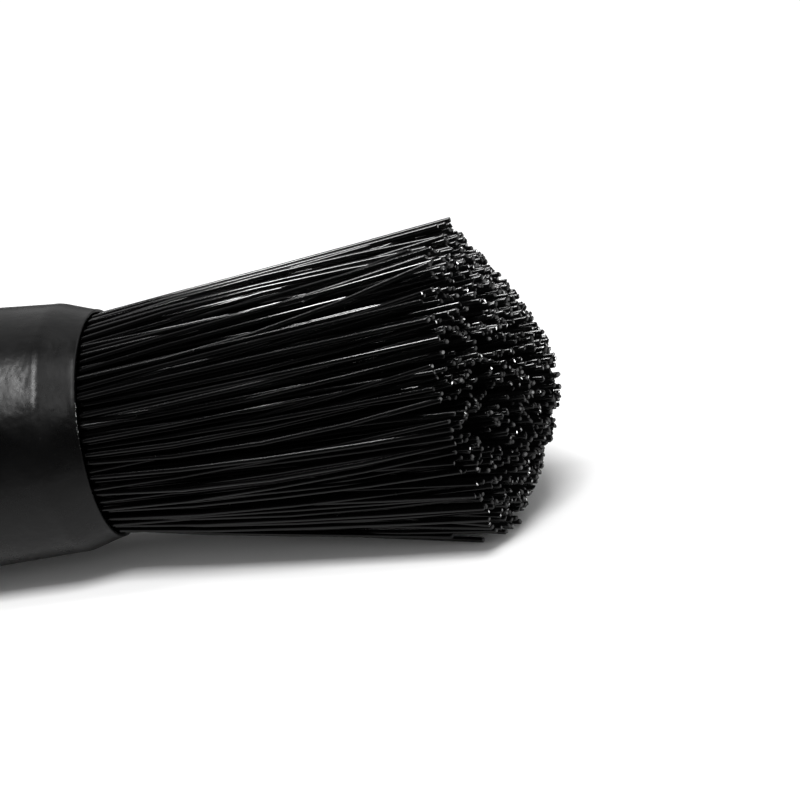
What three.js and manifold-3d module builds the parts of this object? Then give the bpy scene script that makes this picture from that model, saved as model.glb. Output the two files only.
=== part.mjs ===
// A hand brush for scrubbing a bicycle's chain and sprockets. It lies along X with its bristles
// towards +X, on the flat under its grip, which is at Z = 0. Sizes are in millimetres.
//
// Stations along the brush are counted from the collar's rim: plus is towards the bristle tips,
// minus is towards the tail. A profile is a list of [station, radius] points.

import * as THREE from "three";
import { mergeVertices } from "three/addons/utils/BufferGeometryUtils.js";
import Module from "manifold-3d";

const wasm = await Module();
wasm.setup();

// Whole brush
const TAIL_END = -150;
const AXIS_HEIGHT = 15.6;
const GAP = 0.3;
const OUTER_SIDES = 32;
const INNER_SIDES = 24;

// Bristle knot: rings of strands that spread from the rim and are trimmed to a dome
const STRAND_ROOT_WIDTH = 0.52;
const STRAND_TIP_WIDTH = 0.85;
const STRAND_SEAT = 0.3;
const STRAND_RINGS = 11;
const STRANDS_PER_RING_STEP = 6;
const RING_TURN = 0.37;
const KNOT_RADIUS = 10.5;
const KNOT_FLARE = 0.117;
const TRIM_EDGE = 38;
const TRIM_DOME = 7.5;
const TRIM_DOME_POWER = 1.4;
const TRIM_SLANT = 0.05;
const TRIM_UNEVEN = 0.8;
const ROOT_FRONT = -7.5;
const ROOT_BACK = -9;
const ROOT_GAP = 0.25;
const BAND_FRONT = -6.5;
const BAND_THICKNESS = 0.3;
const KNOT_SHARES = {
  bristles_core: [0, 5],
  bristles_inner: [6, 8],
  bristles_middle: [9, 10],
  bristles_outer: [11, 11],
};

// Nose collar, whose chamfered rim holds the knot
const RIM_RADIUS = 11.45;
const MOUTH_RADIUS = 11.15;
const LIP = 0.25;
const CHAMBER_RADIUS = 10.9;
const CHAMBER_FRONT = -3;
const SHOULDER = -3.8;
const SHOULDER_RADIUS = 12.5;
const HANDLE_TAPER = 0.052;
const COLLAR_BACK = -24;

// Handle core, on whose front spigot the collar snaps
const CORE_FRONT = -13.45;
const SPIGOT_RADIUS = 11.3;
const SNAP_STATION = -19.1;
const SNAP_DEPTH = 0.35;
const SNAP_FLAT = 0.6;
const CORE_BELLY_RADIUS = 13.3;
const CORE_TAIL_RADIUS = 9.9;
const CORE_BORE_RADIUS = 8;
const CORE_BORE_FRONT = -34;
const KEY_STATIONS = [-58, -86];
const KEY_WIDTH = 3.2;
const KEY_HEIGHT = 0.9;
const KEY_DRAFT = 0.2;
const CORE_STEPS = 9;

// Grip sleeve
const SLEEVE_FRONT = COLLAR_BACK - GAP;
const SLEEVE_BACK = -117.7;
const BELLY_STATION = -72;
const BELLY_RADIUS = 16.6;
const SLEEVE_TAIL_RADIUS = 12.4;
const GRIP_LINE = [
  [SLEEVE_BACK, SLEEVE_TAIL_RADIUS],
  [-104, 14.2],
  [-90, 15.9],
  [BELLY_STATION, BELLY_RADIUS],
  [-55, 15.75],
  [-40, 14.6],
  [SLEEVE_FRONT, noseRadius(SLEEVE_FRONT)],
];
const GRIP_STEPS = 14;
const FINGER_GROOVES = 5;
const FINGER_GROOVE_FIRST = -30;
const FINGER_GROOVE_STEP = 4;
const FINGER_GROOVE_WIDTH = 2;
const FINGER_GROOVE_DEPTH = 0.6;

// Tail cap, with the hole that the brush hangs by
const CAP_FRONT = SLEEVE_BACK - GAP;
const CAP_PLUG_FRONT = -106.5;
const CAP_SNAP_STATION = -112;
const TAB_HALF_THICKNESS = 5.5;
const TAB_FRONT = -132;
const TAB_RADIUS = 11;
const TAB_RAMP_FRONT = -120;
const TAB_RAMP_STEPS = 5;
const TAB_END_STEPS = 6;
const HANG_HOLE_STATION = -139.5;
const HANG_HOLE_RADIUS = 4.5;
const EDGE_CHAMFER = 0.5;

const KNOT_APEX = TRIM_EDGE + TRIM_DOME;
const RIM_X = -(TAIL_END + KNOT_APEX) / 2;

const satinBlack = { color: 0x1b1b1c, roughness: 0.45, metalness: 0 };
const softBlack = { color: 0x161617, roughness: 0.7, metalness: 0 };
const glossBlack = { color: 0x0b0b0c, roughness: 0.25, metalness: 0 };
const corePlastic = { color: 0x2a2a2c, roughness: 0.55, metalness: 0 };
const amberResin = { color: 0x5a4a2c, roughness: 0.3, metalness: 0 };
const bandSteel = { color: 0x9a9ca0, roughness: 0.35, metalness: 1 };

// Turns a three.js geometry into a solid that can be joined and cut.
function solidOf(geometry) {
  const bare = geometry.clone();
  bare.deleteAttribute("normal");
  bare.deleteAttribute("uv");
  const merged = mergeVertices(bare, 1e-4);
  return new wasm.Manifold(
    new wasm.Mesh({
      numProp: 3,
      vertProperties: merged.attributes.position.array,
      triVerts: new Uint32Array(merged.index.array),
    }),
  );
}

// Turns a solid back into a three.js geometry.
function geometryOf(solid) {
  const mesh = solid.getMesh();
  const geometry = new THREE.BufferGeometry();
  geometry.setAttribute("position", new THREE.BufferAttribute(mesh.vertProperties, 3));
  geometry.setIndex(new THREE.BufferAttribute(mesh.triVerts, 1));
  geometry.computeVertexNormals();
  return geometry;
}

// Spins a profile round the brush's axis. The profile starts and ends on the axis, or closes on itself.
function turned(profile, sides) {
  const points = profile.map(([station, radius]) => new THREE.Vector2(radius, station));
  return new THREE.LatheGeometry(points, sides).rotateZ(-Math.PI / 2);
}

// Closes a ring's profile on its first point.
function closed(profile) {
  return [...profile, profile[0]];
}

// A smooth line through profile points, given from back to front, as a function from station to radius.
function lineThrough(points) {
  const knots = points.map(([station, radius]) => new THREE.Vector2(station, radius));
  const samples = new THREE.SplineCurve(knots).getPoints(200);
  return (station) => {
    const after = samples.findIndex((p) => p.x >= station - 1e-6);
    const [a, b] = [samples[Math.max(after, 1) - 1], samples[Math.max(after, 1)]];
    return THREE.MathUtils.mapLinear(station, a.x, b.x, a.y, b.y);
  };
}

function evenStations(from, to, steps) {
  return Array.from({ length: steps + 1 }, (_, i) => THREE.MathUtils.lerp(from, to, i / steps));
}

// A snap bead, or the groove for one, as four points of a profile that runs from front to back.
function snapStep(station, radius, rise, slack) {
  const half = SNAP_FLAT / 2 + slack;
  const foot = half + Math.abs(rise) * 1.4;
  return [
    [station + foot, radius],
    [station + half, radius + rise],
    [station - half, radius + rise],
    [station - foot, radius],
  ];
}

function namedMesh(name, geometry, finish) {
  const mesh = new THREE.Mesh(geometry, new THREE.MeshStandardMaterial(finish));
  mesh.name = name;
  return mesh;
}

// The handle's outside swells evenly from the shoulder, so collar and sleeve run on as one line.
function noseRadius(station) {
  return SHOULDER_RADIUS + HANDLE_TAPER * (SHOULDER - station);
}

// A strand's distance from the axis, from its ring and its station: all strands spread from one point.
function strandRadius(ring, station) {
  return (ring / STRAND_RINGS) * (KNOT_RADIUS + KNOT_FLARE * station);
}

// A repeatable number from 0 to 1 for each strand, which roughens the trim.
function scatter(ring, index) {
  const wave = Math.sin(ring * 12.9898 + index * 78.233) * 43758.5453;
  return wave - Math.floor(wave);
}

// A square strand from its seat in the potted roots to its trimmed tip. It widens on the way, because
// each one stands for the few fine ones that bunch together there.
function strandSolid(ring, index) {
  const count = Math.max(1, ring * STRANDS_PER_RING_STEP);
  const angle = ring * RING_TURN + (index / count) * 2 * Math.PI;
  const across = new THREE.Vector3(0, Math.cos(angle), Math.sin(angle));
  const dome = TRIM_DOME * (1 - (ring / STRAND_RINGS) ** TRIM_DOME_POWER);
  const slant = -TRIM_SLANT * strandRadius(ring, TRIM_EDGE) * across.z;
  const cutBack = ring === 0 ? 0 : TRIM_UNEVEN * scatter(ring, index);
  const tipStation = TRIM_EDGE + dome + slant - cutBack;
  const rootStation = ROOT_FRONT - STRAND_SEAT;
  const root = across.clone().multiplyScalar(strandRadius(ring, rootStation)).setX(rootStation);
  const tip = across.clone().multiplyScalar(strandRadius(ring, tipStation)).setX(tipStation);
  const along = tip.clone().sub(root);
  const length = along.length();
  const geometry = new THREE.CylinderGeometry(
    STRAND_TIP_WIDTH * Math.SQRT1_2,
    STRAND_ROOT_WIDTH * Math.SQRT1_2,
    length,
    4,
    1,
  );
  geometry.rotateY(Math.PI / 4).translate(0, length / 2, 0).rotateZ(-Math.PI / 2);
  geometry.rotateZ(Math.atan2(Math.hypot(along.y, along.z), along.x));
  geometry.rotateX(angle);
  geometry.translate(root.x, root.y, root.z);
  return solidOf(geometry);
}

// One share of the knot: the strands of some rings, fused to the slice of potted roots that carries them.
function bristleShare([firstRing, lastRing]) {
  const halfGap = ROOT_GAP / 2;
  const ringEdge = (ring) => strandRadius(ring, ROOT_FRONT);
  const outside = lastRing === STRAND_RINGS
    ? ringEdge(lastRing) + STRAND_ROOT_WIDTH / 2 + halfGap
    : ringEdge(lastRing + 0.5) - halfGap;
  const inside = firstRing === 0 ? 0 : ringEdge(firstRing - 0.5) + halfGap;
  const slice = [[ROOT_BACK, inside], [ROOT_BACK, outside], [ROOT_FRONT, outside], [ROOT_FRONT, inside]];
  const solids = [solidOf(turned(inside === 0 ? slice : closed(slice), OUTER_SIDES))];
  for (let ring = firstRing; ring <= lastRing; ring += 1) {
    const count = Math.max(1, ring * STRANDS_PER_RING_STEP);
    for (let index = 0; index < count; index += 1) {
      solids.push(strandSolid(ring, index));
    }
  }
  return geometryOf(wasm.Manifold.union(solids));
}

// The thin band that binds the roots into one knot while they are potted.
function rootBand() {
  const outside = CHAMBER_RADIUS - GAP;
  const inside = outside - BAND_THICKNESS;
  return turned(
    closed([[ROOT_BACK, inside], [ROOT_BACK, outside], [BAND_FRONT, outside], [BAND_FRONT, inside]]),
    INNER_SIDES,
  );
}

// The potting resin behind the roots, which locks the knot in the collar.
function resinPlug() {
  const radius = CHAMBER_RADIUS - GAP;
  const back = CORE_FRONT + 2 * GAP;
  const front = ROOT_BACK - GAP;
  return turned(
    [[back, 0], [back, radius - EDGE_CHAMFER], [back + EDGE_CHAMFER, radius], [front, radius], [front, 0]],
    INNER_SIDES,
  );
}

// The collar: its rim and chamber hold the knot, and a bead in its back bore snaps on to the core.
function noseCollar() {
  const boreRadius = SPIGOT_RADIUS + GAP;
  const stop = CORE_FRONT + GAP;
  const outside = [
    [COLLAR_BACK, noseRadius(COLLAR_BACK)],
    [SHOULDER, SHOULDER_RADIUS],
    [-2 * LIP, RIM_RADIUS],
    [-LIP / 3, RIM_RADIUS - LIP / 3],
    [0, RIM_RADIUS - LIP],
  ];
  const inside = [
    [-LIP, MOUTH_RADIUS],
    [CHAMBER_FRONT, CHAMBER_RADIUS],
    [stop, CHAMBER_RADIUS],
    [stop, boreRadius],
    ...snapStep(SNAP_STATION, boreRadius, -SNAP_DEPTH, 0),
    [COLLAR_BACK, boreRadius],
  ];
  return turned(closed([...outside, ...inside]), OUTER_SIDES);
}

// The core's outside under the sleeve, from back to front, with the ring keys that stop the sleeve from
// sliding. The sleeve's inside is the same line, set off by the gap.
function coreLine(offset) {
  const radiusAt = lineThrough([
    [SLEEVE_BACK, CORE_TAIL_RADIUS + offset],
    [BELLY_STATION, CORE_BELLY_RADIUS + offset],
    [SLEEVE_FRONT, SPIGOT_RADIUS + offset],
  ]);
  const keyHalf = KEY_WIDTH / 2 + offset;
  const line = evenStations(SLEEVE_BACK, SLEEVE_FRONT, CORE_STEPS)
    .filter((station) => KEY_STATIONS.every((key) => Math.abs(station - key) > KEY_WIDTH))
    .map((station) => [station, radiusAt(station)]);
  for (const key of KEY_STATIONS) {
    for (const side of [-1, 1]) {
      const flank = key + side * keyHalf;
      line.push([flank + side * KEY_DRAFT, radiusAt(flank)]);
      line.push([flank, radiusAt(key) + KEY_HEIGHT]);
    }
  }
  return line.sort((a, b) => a[0] - b[0]);
}

// The hollow core: closed at the front behind the resin, open at the back for the tail cap's plug.
function handleCore() {
  return turned(
    [
      [CORE_BORE_FRONT + CORE_BORE_RADIUS / 2, 0],
      [CORE_BORE_FRONT, CORE_BORE_RADIUS],
      ...snapStep(CAP_SNAP_STATION, CORE_BORE_RADIUS, SNAP_DEPTH, GAP),
      [SLEEVE_BACK, CORE_BORE_RADIUS],
      ...coreLine(0),
      ...snapStep(SNAP_STATION, SPIGOT_RADIUS, -SNAP_DEPTH, GAP).reverse(),
      [CORE_FRONT - EDGE_CHAMFER, SPIGOT_RADIUS],
      [CORE_FRONT, SPIGOT_RADIUS - EDGE_CHAMFER],
      [CORE_FRONT, 0],
    ],
    INNER_SIDES,
  );
}

// The sleeve's outside from back to front: a swelling line with shallow rings where the fingers close.
function sleeveOutside() {
  const radiusAt = lineThrough(GRIP_LINE);
  const half = FINGER_GROOVE_WIDTH / 2;
  const lastGroove = FINGER_GROOVE_FIRST - (FINGER_GROOVES - 1) * FINGER_GROOVE_STEP;
  const line = evenStations(SLEEVE_BACK, lastGroove - FINGER_GROOVE_WIDTH, GRIP_STEPS)
    .map((station) => [station, radiusAt(station)]);
  for (let middle = lastGroove; middle <= FINGER_GROOVE_FIRST; middle += FINGER_GROOVE_STEP) {
    line.push([middle - half, radiusAt(middle - half)]);
    line.push([middle, radiusAt(middle) - FINGER_GROOVE_DEPTH]);
    line.push([middle + half, radiusAt(middle + half)]);
  }
  return [...line, [SLEEVE_FRONT, radiusAt(SLEEVE_FRONT)]];
}

// The sleeve is round, with a flat along its top and one along its underside that stop the brush rolling.
function gripSleeve() {
  const round = solidOf(turned(closed([...sleeveOutside(), ...coreLine(GAP).reverse()]), OUTER_SIDES));
  const slab = new THREE.BoxGeometry(2 * -TAIL_END, 4 * BELLY_RADIUS, 2 * AXIS_HEIGHT);
  return geometryOf(round.intersect(solidOf(slab)));
}

// The tail cap: a turned plug and flange whose end is pressed flat into a tab with a round end and a hole.
function tailCap() {
  const plugRadius = CORE_BORE_RADIUS - GAP;
  const endCentre = TAIL_END + TAB_RADIUS;
  const roundEnd = evenStations(0, Math.PI / 2, TAB_END_STEPS)
    .map((angle) => [endCentre - TAB_RADIUS * Math.cos(angle), TAB_RADIUS * Math.sin(angle)]);
  const body = turned(
    [
      ...roundEnd,
      [CAP_FRONT - EDGE_CHAMFER, SLEEVE_TAIL_RADIUS],
      [CAP_FRONT, SLEEVE_TAIL_RADIUS - EDGE_CHAMFER],
      [CAP_FRONT, plugRadius],
      ...snapStep(CAP_SNAP_STATION, plugRadius, SNAP_DEPTH, 0).reverse(),
      [CAP_PLUG_FRONT - EDGE_CHAMFER, plugRadius],
      [CAP_PLUG_FRONT, plugRadius - EDGE_CHAMFER],
      [CAP_PLUG_FRONT, 0],
    ],
    OUTER_SIDES,
  );

  const clear = SLEEVE_TAIL_RADIUS + EDGE_CHAMFER;
  const ramp = evenStations(TAB_RAMP_FRONT, TAB_FRONT, TAB_RAMP_STEPS).map((station, i) => {
    const ease = (1 + Math.cos((Math.PI * i) / TAB_RAMP_STEPS)) / 2;
    return [station, THREE.MathUtils.lerp(TAB_HALF_THICKNESS, clear, ease)];
  });
  const upper = [[0, clear], ...ramp, [2 * TAIL_END, TAB_HALF_THICKNESS]];
  const lower = upper.map(([station, half]) => [station, -half]).reverse();
  const sideView = new THREE.Shape([...upper, ...lower].map(([x, y]) => new THREE.Vector2(x, y)));
  const pressed = new THREE.ExtrudeGeometry(sideView, { depth: 2 * clear, bevelEnabled: false });
  pressed.translate(0, 0, -clear).rotateX(Math.PI / 2);

  const hole = new THREE.CylinderGeometry(HANG_HOLE_RADIUS, HANG_HOLE_RADIUS, 2 * clear, INNER_SIDES);
  hole.rotateX(Math.PI / 2).translate(HANG_HOLE_STATION, 0, 0);
  return geometryOf(solidOf(body).intersect(solidOf(pressed)).subtract(solidOf(hole)));
}

const brush = new THREE.Group();
brush.position.set(RIM_X, 0, AXIS_HEIGHT);
brush.add(namedMesh("nose_collar", noseCollar(), satinBlack));
brush.add(namedMesh("handle_core", handleCore(), corePlastic));
brush.add(namedMesh("grip_sleeve", gripSleeve(), softBlack));
brush.add(namedMesh("tail_cap", tailCap(), satinBlack));
brush.add(namedMesh("root_band", rootBand(), bandSteel));
brush.add(namedMesh("resin_plug", resinPlug(), amberResin));
for (const [name, rings] of Object.entries(KNOT_SHARES)) {
  brush.add(namedMesh(name, bristleShare(rings), glossBlack));
}

const drivetrainBrush = new THREE.Group();
drivetrainBrush.add(brush);

export default drivetrainBrush;
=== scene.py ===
"""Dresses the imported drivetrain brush: bristle knot, collar, grip and tail cap, with stage and camera."""

import math
import random

import bmesh
import bpy
from mathutils import Matrix, Vector


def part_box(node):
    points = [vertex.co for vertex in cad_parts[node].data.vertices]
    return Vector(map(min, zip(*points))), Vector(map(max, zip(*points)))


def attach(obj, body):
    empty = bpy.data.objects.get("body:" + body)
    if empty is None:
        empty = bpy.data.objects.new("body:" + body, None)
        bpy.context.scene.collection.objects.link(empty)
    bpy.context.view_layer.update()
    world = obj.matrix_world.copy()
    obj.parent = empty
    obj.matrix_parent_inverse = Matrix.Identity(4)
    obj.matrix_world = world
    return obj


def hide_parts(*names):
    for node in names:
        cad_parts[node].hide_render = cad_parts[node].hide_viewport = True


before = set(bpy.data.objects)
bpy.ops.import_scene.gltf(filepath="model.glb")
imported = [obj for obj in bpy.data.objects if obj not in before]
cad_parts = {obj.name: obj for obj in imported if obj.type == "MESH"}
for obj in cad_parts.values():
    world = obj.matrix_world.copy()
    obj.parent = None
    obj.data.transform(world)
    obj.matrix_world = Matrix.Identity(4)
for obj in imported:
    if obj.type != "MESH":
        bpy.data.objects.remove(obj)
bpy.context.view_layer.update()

bl_info = {
    "name": "Drivetrain Brush",
    "version": (1, 0, 0),
    "blender": (4, 5, 0),
    "location": "View3D > Sidebar > Brush",
    "description": "Grows the bristles and shapes the handle of a drivetrain brush on its packed frame",
    "category": "Add Mesh",
}

MM = 0.001
TINY = 1e-6
BODY = "root"
FULL_TURN = 2 * math.pi
GOLDEN_ANGLE = math.pi * (3 - math.sqrt(5))

# The frame's own places. A station is a distance along the brush from the collar's rim,
# plus towards the bristle tips and minus towards the tail.
collar_low, collar_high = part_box("nose_collar")
sleeve_low, sleeve_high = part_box("grip_sleeve")
cap_low, cap_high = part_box("tail_cap")
RIM_X = collar_high.x
AXIS_Z = (collar_low.z + collar_high.z) / 2
COLLAR_BACK = collar_low.x - RIM_X
COLLAR_RADIUS = (collar_high.z - collar_low.z) / 2
SLEEVE_BACK = sleeve_low.x - RIM_X
SLEEVE_FRONT = sleeve_high.x - RIM_X
CAP_RADIUS = (cap_high.z - cap_low.z) / 2

# Each node of the knot takes the strands that leave the rim inside this share of the knot's radius.
KNOT_SHARES = {
    "bristles_core": 0.50,
    "bristles_inner": 0.773,
    "bristles_middle": 0.955,
    "bristles_outer": 1.0,
}

# Least and most of the random draws: a strand's thickness and the pull of its bunch, both as shares,
# then how far an end stands back or out and how much more a short strand loses, in scatters of the ends.
THICKNESS_RANGE = (0.92, 1.06)
PULL_RANGE = (0.3, 1.0)
RAGGED_RANGE = (-2.2, 1.2)
SHORT_RANGE = (0.8, 3.0)

# A strand's end, in strand radii: how far behind it an extra ring stands, how far its cut face is drawn in
# and how far it stands out. Faces that look along the strand by more than the last value are shaded flat.
END_RING = 0.45
CUT_INSET = 0.38
CUT_RAISE = 0.36
CUT_FACING = 0.3

# Strands that stand clear of the knot: the root's angle round the axis, from -Y by way of +Z, the share of
# the knot's radius at the tip, and how much of the trimmed length they keep. All have one tone and one cut.
STRAYS = ((95, 1.045, 0.985), (88, 1.02, 0.96), (-85, 1.075, 0.97), (-77, 1.05, 0.9), (137, 1.06, 0.95))
STRAY_TONE = 0.3
STRAY_LEAN = Vector((0.2, 0.1))

# The grip's outline between its ends: the belly's station, and stations and radii behind and ahead of it.
GRIP_BELLY = -72 * MM
GRIP_BEHIND = ((-104 * MM, 14.2 * MM), (-90 * MM, 15.9 * MM))
GRIP_AHEAD = ((-55 * MM, 15.75 * MM), (-40 * MM, 14.6 * MM))

# How softly the grip's flats and the tail's tab meet the round, and the share of that softness which the
# tab loses where its ramp starts. The ramp starts clear of the flange, whose face and plug stay round.
FLAT_SOFTNESS = 0.22 * MM
TAB_SOFTNESS = 0.45 * MM
RAMP_SOFTNESS_LOSS = 0.6
RAMP_CLEARANCE = 1.5 * MM
FLANGE_FACE = 0.2 * MM

# How finely shapes are stepped: the longest step of the collar's outline, then the steps along the grip,
# round the tab's end, along the tab's taper and round its hole.
COLLAR_STEP = 1.2 * MM
GRIP_STEPS = 240
TAB_END_STEPS = 24
TAB_TAPER_STEPS = 40
HOLE_STEPS = 64

# Edges that turn by more than this stay crisp, on the turned pieces and on the tail.
CRISP_ANGLE = math.radians(32)
TAIL_CRISP_ANGLE = math.radians(28)

# Soft lamps: power, width along the brush and height, place from the rim, and the group that each lights.
LAMPS = {
    "key_light": (1.1, (0.035, 0.15), (-0.132, 0.05, 0.44), "knot"),
    "edge_light": (15.0, (0.14, 0.16), (0.92, -0.1, 0.09), "knot"),
    "tip_light": (1.4, (0.08, 0.2), (-0.07, 0.0, 0.44), "knot"),
    "rear_light": (1.0, (0.06, 0.14), (-0.05, 0.4, 0.35), "knot"),
    "front_light": (1.85, (0.08, 0.42), (-0.078, -0.27, 0.53), "collar"),
    "side_light": (1.2, (0.22, 1.2), (0.27, -0.2, 0.64), "collar"),
    "grip_light": (3.2, (0.5, 0.06), (-0.06, -0.3, 0.42), "grip"),
    "grip_back": (2.8, (0.5, 0.06), (-0.06, 0.3, 0.42), "grip"),
    "back_light": (2.7, (1.6, 1.2), (0.0, 0.7, 0.6), "brush"),
    "floor_light": (11.0, (0.3, 0.3), (0.21, -0.62, 0.78), "floor"),
    "floor_side": (3.2, (0.3, 0.3), (-0.4, -0.2, 0.78), "floor"),
    "floor_low": (0.8, (0.4, 0.4), (0.23, -0.92, 0.31), "floor"),
    "floor_fill": (28.0, (3.0, 3.0), (0.2, -0.7, 1.0), "floor"),
}

# The nearest and the furthest that the camera sees.
NEAREST = 0.01
FURTHEST = 20


class KnotSettings(bpy.types.PropertyGroup):
    """Sizes of the bristle knot"""

    seed: bpy.props.IntProperty(name="Seed", description="Start of the random draws", default=11)
    strands: bpy.props.IntProperty(name="Strands", description="Strands in the whole knot", default=1250)
    strand_radius: bpy.props.FloatProperty(
        name="Strand radius", description="Half a strand's thickness", default=0.27 * MM, unit="LENGTH")
    sides: bpy.props.IntProperty(name="Sides", description="Sides of a strand's section", default=6)
    segments: bpy.props.IntProperty(name="Segments", description="Steps along a strand", default=5)
    seat: bpy.props.FloatProperty(
        name="Seat", description="Station where the strands stand in the resin",
        default=-7.8 * MM, unit="LENGTH")
    rim_radius: bpy.props.FloatProperty(
        name="Rim radius", description="Outermost strand's distance from the axis at the rim",
        default=10.8 * MM, unit="LENGTH")
    flare: bpy.props.FloatProperty(
        name="Flare", description="How fast the outermost strands leave the axis", default=0.097)
    bulge: bpy.props.FloatProperty(
        name="Bulge", description="How far the knot swells just past the rim",
        default=0.3 * MM, unit="LENGTH")
    bulge_length: bpy.props.FloatProperty(
        name="Bulge length", description="Length over which the knot swells", default=3 * MM, unit="LENGTH")
    twist: bpy.props.FloatProperty(
        name="Twist", description="How far the tips turn round the axis from their roots",
        default=math.radians(13), subtype="ANGLE")
    lift: bpy.props.FloatProperty(
        name="Lift", description="How far the topmost strands spread upwards",
        default=0.5 * MM, unit="LENGTH")
    trim_edge: bpy.props.FloatProperty(
        name="Trim edge", description="Station of the outermost strands' ends",
        default=37.4 * MM, unit="LENGTH")
    trim_dome: bpy.props.FloatProperty(
        name="Trim dome", description="How far the middle strands reach past the edge",
        default=8 * MM, unit="LENGTH")
    trim_power: bpy.props.FloatProperty(
        name="Trim power", description="Shape of the dome: 1 is a cone, 2 a bowl", default=1.4)
    trim_slant: bpy.props.FloatProperty(
        name="Trim slant", description="How much longer the lower strands are, by height", default=0.085)
    uneven: bpy.props.FloatProperty(
        name="Uneven", description="Scatter of the strands' ends", default=0.42 * MM, unit="LENGTH")
    short_share: bpy.props.FloatProperty(
        name="Short share", description="Share of the strands that end well short",
        default=0.05, subtype="FACTOR")
    cut_lean: bpy.props.FloatProperty(
        name="Cut lean", description="Scatter of the slope of the cut ends", default=0.3)
    crowding: bpy.props.FloatProperty(
        name="Crowding", description="Scatter of the strands at the rim", default=0.2 * MM, unit="LENGTH")
    stray: bpy.props.FloatProperty(
        name="Stray", description="Scatter of the tips across the knot", default=0.7 * MM, unit="LENGTH")
    stray_limit: bpy.props.FloatProperty(
        name="Stray limit", description="Furthest that a tip strays, in shares of the knot's radius",
        default=1.02)
    bend: bpy.props.FloatProperty(
        name="Bend", description="Scatter of the strands' bow", default=0.38 * MM, unit="LENGTH")
    unruly: bpy.props.FloatProperty(
        name="Unruly", description="Share of the strands that stray far", default=0.22, subtype="FACTOR")
    unruly_reach: bpy.props.FloatProperty(
        name="Unruly reach", description="How many times further those stray", default=2.6)
    clumps: bpy.props.IntProperty(name="Clumps", description="Bunches that the tips gather in", default=60)
    clump_scatter: bpy.props.FloatProperty(
        name="Clump scatter", description="Scatter of the bunches, in shares of the knot's radius",
        default=0.045)
    clump_pull: bpy.props.FloatProperty(
        name="Clump pull", description="How far a tip moves towards its bunch",
        default=0.55, subtype="FACTOR")
    gather: bpy.props.FloatProperty(
        name="Gather", description="How late along a strand it moves so: 1 is evenly", default=1.35)


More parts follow.
